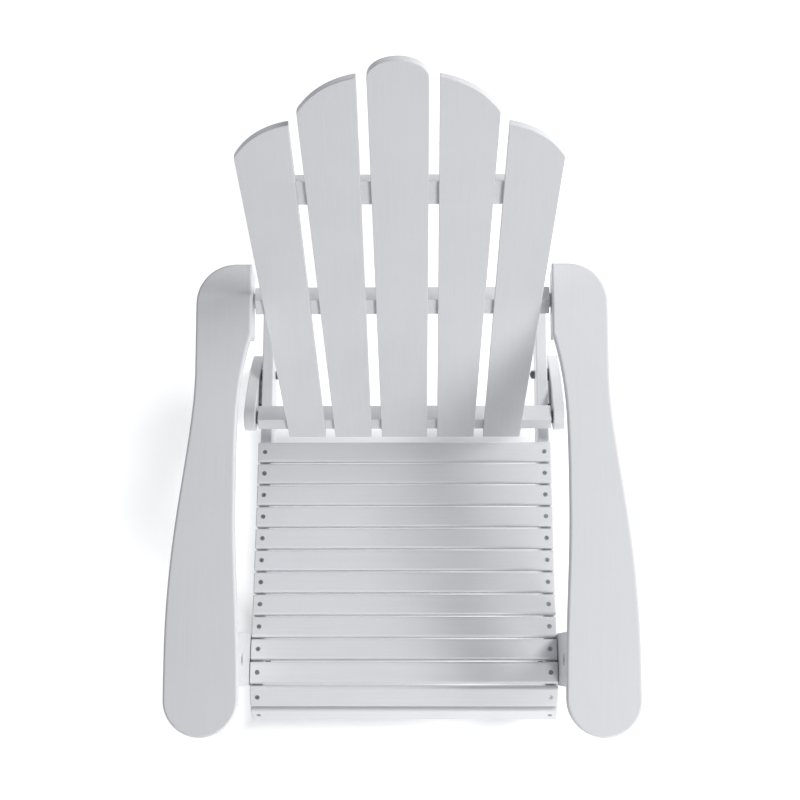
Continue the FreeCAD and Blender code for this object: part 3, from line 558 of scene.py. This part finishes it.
def glowing_floor_with_painted_shade():
    """Matt white acrylic that glows evenly, with painted shade in a patch under the seat where the glow
    stops.
    """
    material, tree, output = new_material("matt_white_acrylic_floor_with_painted_shade")
    place = add_node(tree, "ShaderNodeTexCoord").outputs["Object"]
    haze = add_node(tree, "ShaderNodeTexNoise", {"Vector": place, "Scale": 2.0, "Detail": 1.0})
    colour = add_node(tree, "ShaderNodeMix", {
        "Factor": haze.outputs["Fac"], "A": linear("FAFAFA"), "B": linear("F6F7F8"),
    }, data_type="RGBA")
    # painted shade: the glow stops in a patch under the seat, so the gaps between its slats stay dark
    from_middle = add_node(tree, "ShaderNodeVectorMath", {0: place, 1: PAINTED_SHADE_MIDDLE},
                           operation="SUBTRACT")
    share = add_node(tree, "ShaderNodeVectorMath", {0: from_middle.outputs[0], 1: PAINTED_SHADE_HALF},
                     operation="DIVIDE")
    either_side = add_node(tree, "ShaderNodeVectorMath", {0: share.outputs[0]}, operation="ABSOLUTE")
    split = add_node(tree, "ShaderNodeSeparateXYZ", {0: either_side.outputs[0]})
    further = add_node(tree, "ShaderNodeMath", {0: split.outputs[0], 1: split.outputs[1]},
                       operation="MAXIMUM")
    # the glow: zero in the patch of painted shade under the seat, full outside it
    glow = add_node(tree, "ShaderNodeMapRange", {
        "Value": further.outputs[0], "From Min": PAINTED_SHADE_EDGE[0], "From Max": PAINTED_SHADE_EDGE[1],
        "To Min": 0.0, "To Max": FLOOR_GLOW,
    })
    sheet = add_node(tree, "ShaderNodeBsdfPrincipled", {
        "Base Color": colour.outputs["Result"], "Roughness": 0.9,
        "Emission Color": linear("FFFFFF"), "Emission Strength": glow.outputs["Result"],
    })
    tree.links.new(sheet.outputs["BSDF"], output.inputs["Surface"])
    return material


floor_mesh = bpy.data.meshes.new("studio_floor")
reach = FLOOR_SIZE / 2
floor_z = cad_low.z - FLOOR_GAP
floor_mesh.from_pydata([(-reach, -reach, floor_z), (reach, -reach, floor_z),
                        (reach, reach, floor_z), (-reach, reach, floor_z)], [], [(0, 1, 2, 3)])
floor_mesh.materials.append(glowing_floor_with_painted_shade())
floor = bpy.data.objects.new("studio_floor", floor_mesh)
bpy.context.scene.collection.objects.link(floor)
print("floor at z = %.4f" % floor_z)

# %% Lights
KEY_PLACE = (2.1, 1.6, 2.5)
KEY_SIZE = 1.0
KEY_POWER = 62
FRONT_PLACE = (1.2, -2.4, 1.9)
FRONT_SIZE = 0.9
FRONT_POWER = 44
SKY_STRENGTH = 0.32
middle = (cad_low + cad_high) / 2


def soft_light(name, place, size, power):
    """A square lamp at a place, turned to the middle of the chair."""
    lamp = bpy.data.lights.new(name, "AREA")
    lamp.shape = "SQUARE"
    lamp.size = size
    lamp.energy = power
    lamp_object = bpy.data.objects.new(name, lamp)
    lamp_object.location = place
    lamp_object.rotation_euler = (middle - Vector(place)).to_track_quat("-Z", "Y").to_euler()
    bpy.context.scene.collection.objects.link(lamp_object)
    return lamp_object


key = soft_light("key_softbox", KEY_PLACE, KEY_SIZE, KEY_POWER)
front = soft_light("front_softbox", FRONT_PLACE, FRONT_SIZE, FRONT_POWER)
sky = bpy.data.worlds.new("pale_studio")
sky.use_nodes = True
sky.node_tree.nodes.clear()
sky_light = add_node(sky.node_tree, "ShaderNodeBackground", {
    "Color": linear("F4F6FA"), "Strength": SKY_STRENGTH,
})
add_node(sky.node_tree, "ShaderNodeOutputWorld", {
    "Surface": sky_light.outputs["Background"],
})
bpy.context.scene.world = sky
bpy.context.scene.view_settings.view_transform = "Standard"
print("key light %.0f W, front light %.0f W" % (key.data.energy, front.data.energy))

# %% Camera
CAMERA_HEIGHT = 3.180
CAMERA_OFFSET = (0.0399, -0.3542)   # to the right of and in front of the chair's middle
CAMERA_TILT = 8.787                 # degrees, looking to the rear
CAMERA_SIDE_TILT = 0.943
LENS = 75.69

lens = bpy.data.cameras.new("studio_camera")
lens.lens = LENS
lens.sensor_width = 36.0
lens.clip_end = 50.0
camera = bpy.data.objects.new("studio_camera", lens)
camera.location = (*CAMERA_OFFSET, CAMERA_HEIGHT)
camera.rotation_euler = (math.radians(CAMERA_TILT), math.radians(CAMERA_SIDE_TILT), 0.0)
bpy.context.scene.collection.objects.link(camera)
bpy.context.scene.camera = camera
print("camera at", tuple(round(c, 3) for c in camera.location))
